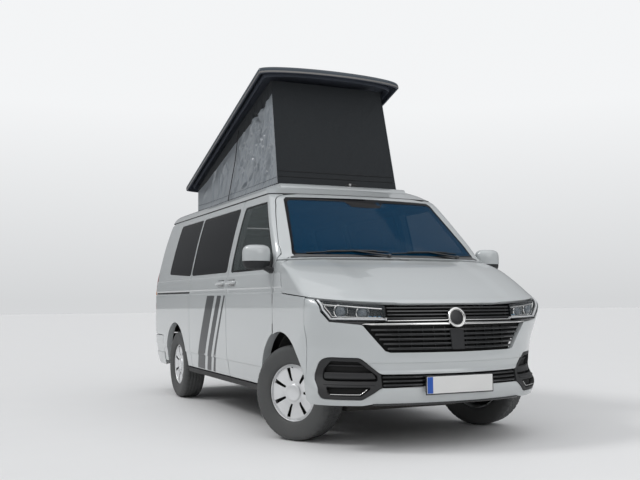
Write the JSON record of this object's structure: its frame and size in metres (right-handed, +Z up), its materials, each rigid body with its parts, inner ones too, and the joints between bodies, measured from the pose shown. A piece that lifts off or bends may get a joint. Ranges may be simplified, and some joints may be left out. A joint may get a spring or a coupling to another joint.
{
  "type": "camper van with a raised pop-up roof",
  "caption": "Full-size camper van with hinged doors, bonnet and tailgate, steered wheels, and a wedge-shaped pop-up roof with a tent, lifted on coupled rear arms.",
  "frame": {"origin": "on the ground below the middle of the van", "axes": "+X forward, +Y to the van's left, +Z up"},
  "size_m": [4.904, 2.296, 3.0728],
  "materials": {
    "paint": "glossy pale warm grey paint",
    "lid_paint": "dark glossy shell",
    "chassis": "dark underbody coating",
    "liner": "matt black arch liner",
    "screen_glass": "tinted laminated glass",
    "door_glass": "lightly tinted glass",
    "dark_glass": "dark privacy glass",
    "dark_plastic": "grained black plastic",
    "bright_trim": "bright plated trim",
    "lamp_glass": "clear lamp lens",
    "red_lens": "red lamp lens",
    "castings": "cast metal",
    "steel": "plain steel",
    "cabin_plastic": "soft grained cabin plastic",
    "seat_cloth": "woven seat cloth",
    "furniture": "light grey laminate board",
    "tent_cloth": "coated grey tent cloth",
    "tyre": "black rubber",
    "wheel_silver": "silver painted wheel cover"
  },
  "bodies": {
    "body": {"floor_pan": "chassis", "side_sills": "paint", "roof_panel": "paint", "windscreen_frame": "paint", "windscreen": "screen_glass", "side_wall_left": "paint", "side_wall_right": "paint", "side_windows": "dark_glass", "sliding_door": "paint", "front_wings": "paint", "wheel_housings": "liner", "front_bumper": "paint", "grilles": "dark_plastic", "grille_trim": "bright_trim", "headlamps": "lamp_glass", "tail_lamps": "red_lens", "rear_bumper": "paint", "engine_block": "castings", "exhaust": "steel", "fuel_tank": "dark_plastic", "front_subframe": "chassis", "rear_subframe": "chassis", "dashboard": "cabin_plastic", "steering_wheel": "cabin_plastic", "front_seats": "seat_cloth", "rear_bench": "seat_cloth", "kitchen_cabinet": "furniture", "roof_tent": "tent_cloth", "roof_brackets": "steel", "hinge_pins": "steel", "slam_panel": "chassis"},
    "door_left": {"front_door_left": "paint", "door_window_left": "door_glass", "mirror_left": "paint"},
    "door_right": {"front_door_right": "paint", "door_window_right": "door_glass", "mirror_right": "paint"},
    "bonnet_lid": {"bonnet": "paint"},
    "rear_door": {"tailgate": "paint", "rear_window": "dark_glass"},
    "lift_arms": {"roof_arms": "steel"},
    "pop_lid": {"roof_lid": "lid_paint"},
    "steering_left": {"knuckle_left": "castings"},
    "steering_right": {"knuckle_right": "castings"},
    "front_left_wheel": {"tyre_front_left": "tyre", "wheel_front_left": "wheel_silver"},
    "front_right_wheel": {"tyre_front_right": "tyre", "wheel_front_right": "wheel_silver"},
    "rear_left_wheel": {"tyre_rear_left": "tyre", "wheel_rear_left": "wheel_silver"},
    "rear_right_wheel": {"tyre_rear_right": "tyre", "wheel_rear_right": "wheel_silver"}
  },
  "joints": [
    {"name": "door_left_swing", "type": "hinge", "parent": "body", "child": "door_left", "pos_m": [1.4035, 0.952, 0.8], "axis": [0, 0, -1], "range_deg": [0, 70]},
    {"name": "door_right_swing", "type": "hinge", "parent": "body", "child": "door_right", "pos_m": [1.4035, -0.952, 0.8], "axis": [0, 0, 1], "range_deg": [0, 70]},
    {"name": "bonnet_lift", "type": "hinge", "parent": "body", "child": "bonnet_lid", "pos_m": [1.6, 0, 1.31397], "axis": [0, -1, 0], "range_deg": [0, 55]},
    {"name": "tailgate_lift", "type": "hinge", "parent": "body", "child": "rear_door", "pos_m": [-2.2895, 0, 1.8735], "axis": [0, 1, 0], "range_deg": [0, 85]},
    {"name": "roof_lift", "type": "hinge", "parent": "body", "child": "lift_arms", "pos_m": [-2.05235, 0, 2.008], "axis": [0, -1, 0], "range_deg": [-65, 0], "deforming": ["roof_tent"]},
    {"name": "lid_tilt", "type": "hinge", "parent": "lift_arms", "child": "pop_lid", "pos_m": [-1.9433, 0, 2.2419], "axis": [0, -1, 0], "range_deg": [0, 47.5]},
    {"name": "steer_left", "type": "hinge", "parent": "body", "child": "steering_left", "pos_m": [1.544, 0.745, 0.34], "axis": [0, 0, 1], "range_deg": [-65, 7]},
    {"name": "steer_right", "type": "hinge", "parent": "body", "child": "steering_right", "pos_m": [1.544, -0.745, 0.34], "axis": [0, 0, 1], "range_deg": [-65, 7]},
    {"name": "spin_front_left", "type": "hinge", "parent": "steering_left", "child": "front_left_wheel", "pos_m": [1.51055, 0.80535, 0.34], "axis": [-0.4848, 0.8746, 0], "continuous": true},
    {"name": "spin_front_right", "type": "hinge", "parent": "steering_right", "child": "front_right_wheel", "pos_m": [1.57745, -0.80535, 0.34], "axis": [-0.4848, 0.8746, 0], "continuous": true},
    {"name": "spin_rear_left", "type": "hinge", "parent": "body", "child": "rear_left_wheel", "pos_m": [-1.456, 0.814, 0.34], "axis": [0, 1, 0], "continuous": true},
    {"name": "spin_rear_right", "type": "hinge", "parent": "body", "child": "rear_right_wheel", "pos_m": [-1.456, -0.814, 0.34], "axis": [0, 1, 0], "continuous": true}
  ],
  "couplings": [
    {"joint": "lid_tilt", "follows": "roof_lift", "ratio": -0.73},
    {"joint": "steer_right", "follows": "steer_left", "ratio": 1}
  ]
}
